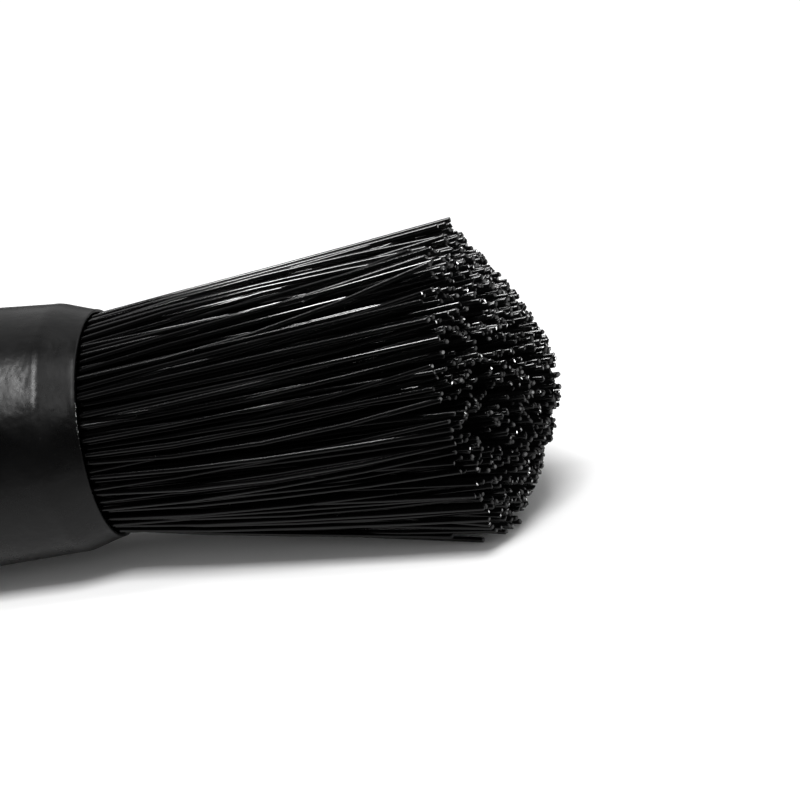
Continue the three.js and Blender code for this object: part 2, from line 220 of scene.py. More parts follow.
class HandleSettings(bpy.types.PropertyGroup):
    """Sizes of the collar, grip and tail cap"""

    around: bpy.props.IntProperty(name="Around", description="Steps of a turned piece", default=96)
    shoulder: bpy.props.FloatProperty(
        name="Shoulder", description="Station of the collar's shoulder", default=-3.8 * MM, unit="LENGTH")
    shoulder_radius: bpy.props.FloatProperty(
        name="Shoulder radius", description="Collar radius at its shoulder",
        default=12.5 * MM, unit="LENGTH")
    shoulder_land: bpy.props.FloatProperty(
        name="Shoulder land", description="Length of the straight band behind the shoulder",
        default=0.9 * MM, unit="LENGTH")
    shoulder_edge: bpy.props.FloatProperty(
        name="Shoulder edge", description="Rounding of the shoulder", default=0.45 * MM, unit="LENGTH")
    lip_radius: bpy.props.FloatProperty(
        name="Lip radius", description="Collar radius behind its rim", default=11.52 * MM, unit="LENGTH")
    lip_land: bpy.props.FloatProperty(
        name="Lip land", description="Length of the straight band at the rim",
        default=0.6 * MM, unit="LENGTH")
    lip_draft: bpy.props.FloatProperty(
        name="Lip draft", description="How much the band narrows to the rim",
        default=0.1 * MM, unit="LENGTH")
    lip_edge: bpy.props.FloatProperty(
        name="Lip edge", description="Rounding where the chamfer meets the band",
        default=0.28 * MM, unit="LENGTH")
    rim_edge: bpy.props.FloatProperty(
        name="Rim edge", description="Rounding of the rim's outside", default=0.15 * MM, unit="LENGTH")
    mouth_radius: bpy.props.FloatProperty(
        name="Mouth radius", description="Collar bore at its rim", default=11.12 * MM, unit="LENGTH")
    mouth_edge: bpy.props.FloatProperty(
        name="Mouth edge", description="Rounding of the rim's inside", default=0.1 * MM, unit="LENGTH")
    chamber_radius: bpy.props.FloatProperty(
        name="Chamber radius", description="Collar bore round the roots", default=10.9 * MM, unit="LENGTH")
    bore_radius: bpy.props.FloatProperty(
        name="Bore radius", description="Collar bore over the core", default=11.6 * MM, unit="LENGTH")
    bore_front: bpy.props.FloatProperty(
        name="Bore front", description="Station where the core's spigot stops",
        default=-13.15 * MM, unit="LENGTH")
    back_edge: bpy.props.FloatProperty(
        name="Back edge", description="Rounding of the collar's back end", default=0.3 * MM, unit="LENGTH")
    grooves: bpy.props.IntProperty(name="Grooves", description="Finger rings on the grip", default=5)
    groove_first: bpy.props.FloatProperty(
        name="First groove", description="Station of the front ring", default=-30 * MM, unit="LENGTH")
    groove_step: bpy.props.FloatProperty(
        name="Groove step", description="Distance between rings", default=4 * MM, unit="LENGTH")
    groove_width: bpy.props.FloatProperty(
        name="Groove width", description="Width of a ring", default=2.6 * MM, unit="LENGTH")
    groove_depth: bpy.props.FloatProperty(
        name="Groove depth", description="Depth of a ring", default=0.6 * MM, unit="LENGTH")
    grip_edge: bpy.props.FloatProperty(
        name="Grip edge", description="Rounding of the grip's ends", default=0.35 * MM, unit="LENGTH")
    front_wall: bpy.props.FloatProperty(
        name="Front wall", description="Grip's thickness at its front end", default=1.8 * MM, unit="LENGTH")
    back_wall: bpy.props.FloatProperty(
        name="Back wall", description="Grip's thickness at its back end", default=2.2 * MM, unit="LENGTH")
    belly_bore: bpy.props.FloatProperty(
        name="Belly bore", description="Grip's bore at its belly", default=13.6 * MM, unit="LENGTH")
    cap_gap: bpy.props.FloatProperty(
        name="Cap gap", description="Gap between the grip and the tail cap",
        default=0.3 * MM, unit="LENGTH")
    cap_edge: bpy.props.FloatProperty(
        name="Cap edge", description="Rounding of the tail cap's flange", default=0.5 * MM, unit="LENGTH")
    plug_radius: bpy.props.FloatProperty(
        name="Plug radius", description="Radius of the tail cap's plug", default=7.7 * MM, unit="LENGTH")
    ramp_front: bpy.props.FloatProperty(
        name="Ramp front", description="Station where the tail starts to flatten",
        default=-120 * MM, unit="LENGTH")
    ramp_back: bpy.props.FloatProperty(
        name="Ramp back", description="Station where the tail is flat", default=-132 * MM, unit="LENGTH")
    tab_half: bpy.props.FloatProperty(
        name="Tab half", description="Half the tail tab's thickness", default=5.5 * MM, unit="LENGTH")
    tab_radius: bpy.props.FloatProperty(
        name="Tab radius", description="Radius of the tab's round end", default=11 * MM, unit="LENGTH")
    hole_radius: bpy.props.FloatProperty(
        name="Hole radius", description="Radius of the hanging hole", default=4.5 * MM, unit="LENGTH")
    hole_station: bpy.props.FloatProperty(
        name="Hole station", description="Station of the hanging hole",
        default=-139.5 * MM, unit="LENGTH")
    hole_ease: bpy.props.FloatProperty(
        name="Hole ease", description="Width of the hole's eased edge", default=0.9 * MM, unit="LENGTH")


class FinishSettings(bpy.types.PropertyGroup):
    """Colours of the finishes"""

    nylon: bpy.props.FloatVectorProperty(
        name="Nylon", description="Black of the strands",
        default=(0.002, 0.002, 0.0021, 1), size=4, subtype="COLOR")
    pale_nylon: bpy.props.FloatVectorProperty(
        name="Pale nylon", description="Black that the paler strands turn to",
        default=(0.0055, 0.0055, 0.0057, 1), size=4, subtype="COLOR")
    cut_nylon: bpy.props.FloatVectorProperty(
        name="Cut nylon", description="Black of the cut ends",
        default=(0.008, 0.008, 0.008, 1), size=4, subtype="COLOR")
    plastic: bpy.props.FloatVectorProperty(
        name="Plastic", description="Black of collar and cap",
        default=(0.003, 0.003, 0.0032, 1), size=4, subtype="COLOR")
    pale_plastic: bpy.props.FloatVectorProperty(
        name="Pale plastic", description="Black of the blotches on collar and cap",
        default=(0.006, 0.006, 0.0063, 1), size=4, subtype="COLOR")
    rubber: bpy.props.FloatVectorProperty(
        name="Rubber", description="Black of the grip",
        default=(0.009, 0.009, 0.0093, 1), size=4, subtype="COLOR")
    worn_rubber: bpy.props.FloatVectorProperty(
        name="Worn rubber", description="Black of the grip where the hand rubs",
        default=(0.014, 0.014, 0.0144, 1), size=4, subtype="COLOR")
    dust: bpy.props.FloatVectorProperty(
        name="Dust", description="Grey of dust and scuffs",
        default=(0.09, 0.09, 0.088, 1), size=4, subtype="COLOR")


class StageSettings(bpy.types.PropertyGroup):
    """Floor, lights and camera"""

    floor: bpy.props.FloatVectorProperty(
        name="Floor", description="Floor colour", default=(0.86, 0.86, 0.86, 1), size=4, subtype="COLOR")
    floor_fibres: bpy.props.FloatVectorProperty(
        name="Floor fibres", description="Colour of the floor's paler fibres",
        default=(0.9, 0.9, 0.9, 1), size=4, subtype="COLOR")
    # The floor as the brush mirrors it, and as it bounces light onto the brush, is painted darker than it
    # looks to the lens: grey near the brush and near black further in front. This is painted shade in the
    # brush's reflections.
    floor_bounce: bpy.props.FloatVectorProperty(
        name="Floor bounce", description="Floor colour that the brush mirrors, greyer to keep its blacks",
        default=(0.32, 0.32, 0.32, 1), size=4, subtype="COLOR")
    # Painted shade: the near-black floor that the brush mirrors further in front.
    mirrored_shade_ahead: bpy.props.FloatVectorProperty(
        name="Floor ahead", description="Floor colour that the brush mirrors further in front",
        default=(0.03, 0.03, 0.03, 1), size=4, subtype="COLOR")
    floor_fade: bpy.props.FloatVectorProperty(
        name="Floor fade", description="How far in front of the axis the colour ahead sets in and is full",
        default=(16 * MM, 60 * MM), size=2, unit="LENGTH")
    floor_half: bpy.props.FloatProperty(
        name="Floor half", description="Half the floor's width", default=4.0, unit="LENGTH")
    room: bpy.props.FloatProperty(name="Room", description="Light of the room all round", default=0.02)
    azimuth: bpy.props.FloatProperty(
        name="Azimuth", description="Camera turn round the brush",
        default=math.radians(14.2), subtype="ANGLE")
    elevation: bpy.props.FloatProperty(
        name="Elevation", description="Camera height as an angle", default=math.radians(18), subtype="ANGLE")
    roll: bpy.props.FloatProperty(
        name="Roll", description="Camera turn about its own view",
        default=math.radians(-11.25), subtype="ANGLE")
    distance: bpy.props.FloatProperty(
        name="Distance", description="Camera to aim point", default=443.2 * MM, unit="LENGTH")
    aim: bpy.props.FloatVectorProperty(
        name="Aim", description="Point at the picture's middle",
        default=(81.79 * MM, 0, 14.34 * MM), subtype="XYZ")
    lens: bpy.props.FloatProperty(name="Lens", description="Focal length in millimetres", default=202.5)


class Value:
    """A node's output, whose arithmetic adds Math nodes."""

    def __init__(self, finish, socket):
        self.finish = finish
        self.socket = socket

    def maths(self, operation, left, right):
        return self.finish.node("ShaderNodeMath", {"operation": operation}, {0: left, 1: right})

    def __add__(self, other):
        return self.maths("ADD", self, other)

    def __radd__(self, other):
        return self.maths("ADD", other, self)

    def __sub__(self, other):
        return self.maths("SUBTRACT", self, other)

    def __rsub__(self, other):
        return self.maths("SUBTRACT", other, self)

    def __mul__(self, other):
        return self.maths("MULTIPLY", self, other)

    def __rmul__(self, other):
        return self.maths("MULTIPLY", other, self)


class Finish:
    """A material whose nodes are made one call at a time."""

    def __init__(self, name):
        self.material = bpy.data.materials.new(name)
        self.material.use_nodes = True
        self.tree = self.material.node_tree
        self.surface = self.tree.nodes["Principled BSDF"]

    def node(self, kind, settings=None, inputs=None, output=0):
        """Adds a node, sets it up, fills its sockets and gives one of its outputs."""
        made = self.tree.nodes.new(kind)
        for key, value in (settings or {}).items():
            setattr(made, key, value)
        self.fill(made, inputs or {})
        return Value(self, made.outputs[output])

    def fill(self, made, inputs):
        """Links values to a node's sockets, and sets the sockets that get plain numbers or colours."""
        for key, value in inputs.items():
            if isinstance(value, Value):
                self.tree.links.new(value.socket, made.inputs[key])
            else:
                made.inputs[key].default_value = value

    def place(self, scale=None):
        """Object coordinates, stretched by a scale if there is one."""
        here = self.node("ShaderNodeTexCoord", output="Object")
        if scale is None:
            return here
        return self.node("ShaderNodeMapping", {}, {"Vector": here, "Scale": scale})

    def part(self, place, axis):
        """One coordinate of a place."""
        return self.node("ShaderNodeSeparateXYZ", {}, {"Vector": place}, output=axis)

    def noise(self, place, scale=1.0, detail=2.0, rough=0.5):
        return self.node("ShaderNodeTexNoise", {}, {
            "Vector": place, "Scale": scale, "Detail": detail, "Roughness": rough})

    def between(self, value, low, high, to_low=0.0, to_high=1.0):
        """A value's stretch from low to high, moved to another stretch and held at its ends."""
        return self.node("ShaderNodeMapRange", {}, {
            "Value": value, "From Min": low, "From Max": high, "To Min": to_low, "To Max": to_high})

    def specks(self, place, scale, low, high=0.8):
        """Sparse dots of dust, where a noise peaks."""
        return self.between(self.noise(place, scale, detail=1.0), low, high)

    def mix(self, factor, first, second):
        return self.node("ShaderNodeMix", {"data_type": "RGBA"}, {0: factor, 6: first, 7: second}, output=2)

    def bump(self, height, strength, distance):
        return self.node("ShaderNodeBump", {}, {
            "Height": height, "Strength": strength, "Distance": distance})

    def attribute(self, name):
        return self.node("ShaderNodeAttribute", {"attribute_name": name}, output="Fac")


def strand_nylon(finishes):
    """Glossy black filament: every strand has its own tone, with dust specks and a paler cut end."""
    finish = Finish("strand_nylon")
    tone = finish.attribute("strand_tone")
    cut = finish.attribute("cut_end")
    specks = finish.specks(finish.place(), scale=2600, low=0.73)
    streaks = finish.noise(finish.place((400, 4000, 4000)), detail=3.0)
    black = finish.mix(tone * 0.5 + streaks * 0.3, finishes.nylon, finishes.pale_nylon)
    dusty = finish.mix(specks * 0.2, black, finishes.dust)
    finish.fill(finish.surface, {
        "Base Color": finish.mix(cut * 0.8, dusty, finishes.cut_nylon),
        "Roughness": 0.07 + tone * tone * 0.16 + streaks * 0.05 + specks * 0.1 + cut * 0.3,
        "Specular IOR Level": 0.4,
        "Normal": finish.bump(streaks, strength=0.25, distance=0.02 * MM),
    })
    return finish.material


def moulded_plastic(name, finishes):
    """Satin moulded plastic: fine spark grain, a blotchy sheen and a little dust."""
    finish = Finish(name)
    here = finish.place()
    blotches = finish.noise(here, scale=260, detail=3.0, rough=0.6)
    grain = finish.noise(here, scale=4200, rough=0.6)
    waves = finish.noise(here, scale=480)
    specks = finish.specks(here, scale=1900, low=0.72)
    black = finish.mix(blotches * 0.5, finishes.plastic, finishes.pale_plastic)
    sheen = finish.between(blotches, low=0.3, high=0.7, to_low=0.2, to_high=0.34)
    finish.fill(finish.surface, {
        "Base Color": finish.mix(specks * 0.12, black, finishes.dust),
        "Roughness": sheen + grain * 0.06,
        "Specular IOR Level": 0.4,
        "Normal": finish.bump(waves + grain * 0.06, strength=0.45, distance=0.18 * MM),
    })
    return finish.material


def soft_rubber(size, finishes):
    """Satin soft rubber: a fine stipple, shinier where the hand rubs, and dust in the finger rings."""
    finish = Finish("soft_rubber")
    here = finish.place()
    cells = finish.node("ShaderNodeTexVoronoi", {}, {"Vector": here, "Scale": 1500})
    patches = finish.noise(here, scale=45, detail=4.0, rough=0.55)
    grain = finish.noise(here, scale=5200)
    wear = finish.between(patches, low=0.45, high=0.68)
    specks = finish.specks(here, scale=1500, low=0.70)
    ring = (finish.part(here, "X") - (RIM_X + size.groove_first)) * (1 / size.groove_step)
    off_ring = finish.node("ShaderNodeMath", {"operation": "PINGPONG"}, {0: ring, 1: 0.5})
    ahead_of_last = finish.between(ring, low=0.45 - size.grooves, high=0.55 - size.grooves)
    behind_first = finish.between(ring, low=0.45, high=0.55, to_low=1, to_high=0)
    in_ring = finish.between(off_ring, low=0.06, high=0.24, to_low=1, to_high=0)
    patchy = finish.between(patches, low=0.3, high=0.6, to_low=0.4, to_high=1)
    settled = in_ring * (ahead_of_last * behind_first) * patchy
    black = finish.mix(wear * 0.6, finishes.rubber, finishes.worn_rubber)
    finish.fill(finish.surface, {
        "Base Color": finish.mix(specks * 0.3 + settled * 0.25, black, finishes.dust),
        "Roughness": 0.39 - wear * 0.09 + grain * 0.08 + settled * 0.3,
        "IOR": 1.45,
        "Normal": finish.bump(cells * -0.7 + grain * 0.3, strength=0.35, distance=0.12 * MM),
    })
    return finish.material


def core_plastic():
    """Plain charcoal plastic of the core, with flow streaks along it."""
    finish = Finish("core_plastic")
    streaks = finish.noise(finish.place((60, 900, 900)), detail=3.0)
    finish.fill(finish.surface, {
        "Base Color": finish.mix(streaks, (0.03, 0.03, 0.032, 1), (0.06, 0.06, 0.065, 1)),
        "Roughness": 0.45 + streaks * 0.15,
        "Normal": finish.bump(streaks, strength=0.2, distance=0.05 * MM),
    })
    return finish.material


def band_steel():
    """Thin rolled strip with fine lines round it."""
    finish = Finish("band_steel")
    lines = finish.noise(finish.place((9000, 200, 200)))
    finish.fill(finish.surface, {
        "Base Color": finish.mix(lines, (0.45, 0.46, 0.48, 1), (0.62, 0.63, 0.65, 1)),
        "Metallic": 1.0,
        "Roughness": 0.25 + lines * 0.2,
        "Normal": finish.bump(lines, strength=0.15, distance=0.02 * MM),
    })
    return finish.material


def potting_resin():
    """Cured amber resin with soft clouds."""
    finish = Finish("potting_resin")
    clouds = finish.noise(finish.place(), scale=420, detail=3.0)
    finish.fill(finish.surface, {
        "Base Color": finish.mix(clouds, (0.12, 0.075, 0.028, 1), (0.25, 0.17, 0.07, 1)),
        "Roughness": 0.18 + clouds * 0.15,
        "Normal": finish.bump(clouds, strength=0.1, distance=0.1 * MM),
    })
    return finish.material


def group(name):
    """The scene's collection of that name."""
    found = bpy.data.collections.get(name)
    if found is None:
        found = bpy.data.collections.new(name)
        bpy.context.scene.collection.children.link(found)
    return found


def add_piece(name, part, bm, material, slot, *nodes):
    """Makes a finished bmesh a piece of one part of the brush, which stands for CAD nodes."""
    mesh = bpy.data.meshes.new(name)
    bm.to_mesh(mesh)
    bm.free()
    mesh.materials.append(material)
    piece = bpy.data.objects.new(name, mesh)
    group("brush").objects.link(piece)
    group(part).objects.link(piece)
    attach(piece, BODY)
    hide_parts(*nodes)


def spun(profile, steps):
    """A turned solid: (station, radius) points spun round the axis. Ends that are off it are joined."""
    bm = bmesh.new()
    points = [bm.verts.new((RIM_X + station, 0, AXIS_Z + radius)) for station, radius in profile]
    edges = [bm.edges.new(pair) for pair in zip(points, points[1:])]
    if profile[0][1] > 0 and profile[-1][1] > 0:
        edges.append(bm.edges.new((points[-1], points[0])))
    bmesh.ops.spin(bm, geom=points + edges, cent=(0, 0, AXIS_Z), axis=(1, 0, 0), angle=FULL_TURN,
                   steps=steps, use_merge=True)
    bmesh.ops.remove_doubles(bm, verts=bm.verts, dist=TINY)
    bmesh.ops.recalc_face_normals(bm, faces=bm.faces)
    return bm


def stepped(corners, step):
    """An outline with points no further apart than a step, so that smooth shading stays near its edges."""
    line = [corners[0]]
    for (x0, r0), (x1, r1) in zip(corners, corners[1:]):
        parts = max(1, math.ceil(math.hypot(x1 - x0, r1 - r0) / step))
        line += [(x0 + (x1 - x0) * k / parts, r0 + (r1 - r0) * k / parts) for k in range(1, parts + 1)]
    return line


def round_ring(bm, station, radius, offset, segments=3):
    """Rounds the turned edge that runs round the brush at a station and radius."""
    near = 0.01 * MM

    def on_ring(vert):
        reach = math.hypot(vert.co.y, vert.co.z - AXIS_Z)
        return abs(vert.co.x - RIM_X - station) < near and abs(reach - radius) < near

    edges = [edge for edge in bm.edges if all(on_ring(vert) for vert in edge.verts)]
    bmesh.ops.bevel(bm, geom=edges, offset=offset, offset_type="OFFSET", segments=segments, profile=0.5,
                    affect="EDGES", clamp_overlap=True, material=-1)


def shade(bm, crisp_angle):
    """Smooth faces that keep their edges crisp past an angle."""
    for face in bm.faces:
        face.smooth = True
    for edge in bm.edges:
        edge.smooth = edge.calc_face_angle(0.0) < crisp_angle


def held_under(value, limit, softness):
    """A value that runs up to a limit and eases off just before it."""
    return limit - softness * math.log1p(math.exp((limit - value) / softness))


def press_flat(vert, half, softness):
    """Holds a vertex within half a thickness of the axis, above and below."""
    height = vert.co.z - AXIS_Z
    vert.co.z = AXIS_Z + math.copysign(held_under(abs(height), half, softness), height)


def line_through(points, station):
    """The radius at a station of a smooth curve through (station, radius) points, from back to front."""
    last = len(points) - 1
    span = next((i for i in range(last) if station <= points[i + 1][0]), last - 1)
    before, start, end, after = (points[min(max(span + k, 0), last)] for k in (-1, 0, 1, 2))
    t = (station - start[0]) / (end[0] - start[0])
    leave = (end[1] - before[1]) / 2
    arrive = (after[1] - start[1]) / 2
    return ((2 * start[1] - 2 * end[1] + leave + arrive) * t ** 3
            + (3 * end[1] - 3 * start[1] - 2 * leave - arrive) * t ** 2 + leave * t + start[1])


def strand_template(knot):
    """One strand along +X, of unit radius and with unit steps, whose end is cut flat with broken edges."""
    half = knot.segments / 2
    bm = bmesh.new()
    bmesh.ops.create_cone(bm, cap_ends=True, cap_tris=False, segments=knot.sides, radius1=1, radius2=1,
                          depth=knot.segments, matrix=Matrix.Rotation(math.pi / 2, 4, "Y"))
    bmesh.ops.translate(bm, verts=bm.verts, vec=(half, 0, 0))
    long_edges = [edge for edge in bm.edges if edge.calc_length() > half]
    bmesh.ops.subdivide_edges(bm, edges=long_edges, cuts=knot.segments - 1, use_grid_fill=True)
    bmesh.ops.bisect_plane(bm, geom=[*bm.verts, *bm.edges, *bm.faces], dist=TINY,
                           plane_co=(knot.segments - END_RING, 0, 0), plane_no=(1, 0, 0))
    tip = max(bm.faces, key=lambda face: face.calc_center_median().x)
    bmesh.ops.inset_individual(bm, faces=[tip], thickness=CUT_INSET)
    bmesh.ops.translate(bm, verts=tip.verts, vec=(CUT_RAISE, 0, 0))
    bm.normal_update()
    for face in bm.faces:
        face.smooth = abs(face.normal.x) < CUT_FACING
    mesh = bpy.data.meshes.new("strand_template")
    bm.to_mesh(mesh)
    bm.free()
    return mesh


def knot_spread(knot, station):
    """The outermost strand's distance from the axis."""
    swell = knot.bulge * (1 - math.exp(-max(station, 0.0) / knot.bulge_length))
    return knot.rim_radius + knot.flare * station + swell


def disc_point(index, count):
    """Evenly spread points of a unit disc, from the middle out."""
    reach = math.sqrt((index + 0.5) / count)
    return Vector((reach * math.cos(index * GOLDEN_ANGLE), reach * math.sin(index * GOLDEN_ANGLE)))


def scattered(draw, spread=1.0):
    """A random step across the knot."""
    return Vector((draw.gauss(0, spread), draw.gauss(0, spread)))


def kept_inside(place, limit):
    """A place on the knot's disc, drawn back to a limit if it lies past it."""
    return place * min(1.0, limit / max(place.length, TINY))


def turned(knot, place, grown):
    """A place on the knot's unit disc, turned by the twist that the strands have there."""
    return Matrix.Rotation(-knot.twist * grown, 2) @ place


def strand_tip(knot, root, bunches, draw):
    """Where a strand's tip lies on the knot's unit disc: pulled to the nearest bunch and scattered."""
    bunch = min(bunches, key=lambda place: (place - root).length_squared)
    scatter = scattered(draw) * (knot.stray / knot_spread(knot, knot.trim_edge))
    if draw.random() < knot.unruly:
        scatter *= knot.unruly_reach
    pulled = root.lerp(bunch, knot.clump_pull * draw.uniform(*PULL_RANGE))
    return kept_inside(pulled + scatter, knot.stray_limit)


def strand_line(knot, root, tip, tip_station, bow):
    """A strand's points, from its seat to its trimmed end. Only strands above the axis are lifted."""
    line = []
    for step in range(knot.segments + 1):
        station = knot.seat if step == 0 else tip_station * (step - 1) / (knot.segments - 1)
        grown = max(station, 0.0) / tip_station
        way = turned(knot, root.lerp(tip, grown ** knot.gather), grown)
        place = way * knot_spread(knot, station) + bow * math.sin(math.pi * grown)
        place.y += knot.lift * max(way.y, 0.0) ** 3 * grown ** 2
        line.append(Vector((RIM_X + station, place.x, AXIS_Z + place.y)))
    return line


def trim_station(knot, tip, draw):
    """Where a strand ends: a dome, a little longer below, with ragged ends."""
    reach = min(tip.length, 1.0)
    dome = knot.trim_dome * (1 - reach ** knot.trim_power)
    slant = -knot.trim_slant * turned(knot, tip, 1.0).y * knot_spread(knot, knot.trim_edge)
    shortest, longest = RAGGED_RANGE
    ragged = max(shortest, min(longest, draw.gauss(0, 1))) * knot.uneven
    if draw.random() < knot.short_share:
        ragged -= draw.uniform(*SHORT_RANGE) * knot.uneven
    return knot.trim_edge + dome + slant + ragged


def add_strand(bm, template, line, radius, turn, tone, cut_lean):
    """Lays a copy of the template along a line of points, turned about it, and notes its tone and cut."""
    tone_layer = bm.verts.layers.float["strand_tone"]
    cut_layer = bm.verts.layers.float["cut_end"]
    along = (line[-1] - line[1]).normalized()
    side = Matrix.Rotation(turn, 3, along) @ along.orthogonal().normalized()
    up = along.cross(side)
    count = len(template.vertices)
    bm.from_mesh(template)
    bm.verts.ensure_lookup_table()
    last = len(line) - 1
    for vert in bm.verts[-count:]:
        ring = min(round(vert.co.x), last)
        past = vert.co.x - ring if ring == last else 0.0
        lean = (vert.co.y * cut_lean.x + vert.co.z * cut_lean.y) if ring == last else 0.0
        vert[tone_layer] = tone
        vert[cut_layer] = 1.0 if past > CUT_RAISE / 2 else 0.0
        vert.co = line[ring] + (side * vert.co.y + up * vert.co.z + along * (past + lean)) * radius


class BRUSH_OT_grow_knot(bpy.types.Operator):
    """Grow the bristle knot, one piece for each share of it from the middle out"""

    bl_idname = "brush.grow_knot"
    bl_label = "Grow Bristle Knot"

    def execute(self, context):
        knot = context.scene.brush_knot
        draw = random.Random(knot.seed)
        template = strand_template(knot)
        bunches = [disc_point(index, knot.clumps) + scattered(draw, knot.clump_scatter)
                   for index in range(knot.clumps)]
        shares = {}
        for node in KNOT_SHARES:
            shares[node] = bmesh.new()
            shares[node].verts.layers.float.new("strand_tone")
            shares[node].verts.layers.float.new("cut_end")
        for index in range(knot.strands):
            root = disc_point(index, knot.strands)
            node = next(name for name, limit in KNOT_SHARES.items() if root.length <= limit)
            root = kept_inside(root + scattered(draw) * (knot.crowding / knot.rim_radius), 1.0)
            tip = strand_tip(knot, root, bunches, draw)
            bow = scattered(draw) * knot.bend * root.length
            line = strand_line(knot, root, tip, trim_station(knot, tip, draw), bow)
            lean = scattered(draw, knot.cut_lean)
            radius = knot.strand_radius * draw.uniform(*THICKNESS_RANGE)
            add_strand(shares[node], template, line, radius, index * GOLDEN_ANGLE, draw.random(), lean)
        outer = shares["bristles_outer"]
        for degrees, reach, kept in STRAYS:
            angle = math.radians(degrees)
            root = Vector((-math.cos(angle), math.sin(angle)))
            line = strand_line(knot, root, root * reach, knot.trim_edge * kept, Vector((0, 0)))
            add_strand(outer, template, line, knot.strand_radius, angle, STRAY_TONE, STRAY_LEAN)
        material = strand_nylon(context.scene.brush_finish)
        for node, bm in shares.items():
            add_piece("strands_" + node.split("_")[1], "knot", bm, material, "bristle_nylon", node)
        bpy.data.meshes.remove(template)
        return {"FINISHED"}


class BRUSH_OT_turn_collar(bpy.types.Operator):
    """Turn the chamfered collar that the bristles come out of"""

    bl_idname = "brush.turn_collar"
    bl_label = "Turn Nose Collar"

    def execute(self, context):
        size = context.scene.brush_handle
        rim_radius = size.lip_radius - size.lip_draft
        corners = [
            (COLLAR_BACK, COLLAR_RADIUS),
            (size.shoulder - size.shoulder_land, size.shoulder_radius),
            (size.shoulder, size.shoulder_radius),
            (-size.lip_land, size.lip_radius),
            (0.0, rim_radius),
            (0.0, size.mouth_radius),
            (size.shoulder, size.chamber_radius),
            (size.bore_front, size.chamber_radius),
            (size.bore_front, size.bore_radius),
            (COLLAR_BACK, size.bore_radius),
        ]
        bm = spun(stepped(corners, COLLAR_STEP), size.around)
        round_ring(bm, COLLAR_BACK, COLLAR_RADIUS, size.back_edge)
        round_ring(bm, size.shoulder, size.shoulder_radius, size.shoulder_edge, segments=5)
        round_ring(bm, -size.lip_land, size.lip_radius, size.lip_edge, segments=4)
        round_ring(bm, 0.0, rim_radius, size.rim_edge, segments=5)
        round_ring(bm, 0.0, size.mouth_radius, size.mouth_edge, segments=2)
        shade(bm, CRISP_ANGLE)
        material = moulded_plastic("collar_plastic", context.scene.brush_finish)
        add_piece("collar", "collar", bm, material, "collar_plastic", "nose_collar")
        return {"FINISHED"}


class BRUSH_OT_mould_grip(bpy.types.Operator):
    """Mould the soft sleeve with its finger rings and flats"""

    bl_idname = "brush.mould_grip"
    bl_label = "Mould Grip Sleeve"

    def execute(self, context):
        size = context.scene.brush_handle
        flat = (sleeve_high.z - sleeve_low.z) / 2
        belly = (sleeve_high.y - sleeve_low.y) / 2
        back_end = (SLEEVE_BACK, CAP_RADIUS)
        front_end = (SLEEVE_FRONT, COLLAR_RADIUS)
        line = [back_end, *GRIP_BEHIND, (GRIP_BELLY, belly), *GRIP_AHEAD, front_end]
        profile = []
        for step in range(GRIP_STEPS + 1):
            station = SLEEVE_BACK + (SLEEVE_FRONT - SLEEVE_BACK) * step / GRIP_STEPS
            profile.append((station, line_through(line, station) - self.ring_depth(size, station)))
        profile += [
            (SLEEVE_FRONT, COLLAR_RADIUS - size.front_wall),
            (GRIP_BELLY, size.belly_bore),
            (SLEEVE_BACK, CAP_RADIUS - size.back_wall),
        ]
        bm = spun(profile, size.around)
        round_ring(bm, SLEEVE_FRONT, profile[GRIP_STEPS][1], size.grip_edge)
        round_ring(bm, SLEEVE_BACK, profile[0][1], size.grip_edge)
        for vert in bm.verts:
            press_flat(vert, flat, FLAT_SOFTNESS)
        shade(bm, CRISP_ANGLE)
        material = soft_rubber(size, context.scene.brush_finish)
        add_piece("grip", "grip", bm, material, "grip_rubber", "grip_sleeve")
        return {"FINISHED"}

    def ring_depth(self, size, station):
        """How deep the finger rings are at a station."""
        depth = 0.0
        for ring in range(size.grooves):
            off = abs(station - size.groove_first + ring * size.groove_step) / (size.groove_width / 2)
            if off < 1:
                depth += size.groove_depth * (1 + math.cos(math.pi * off)) / 2
        return depth


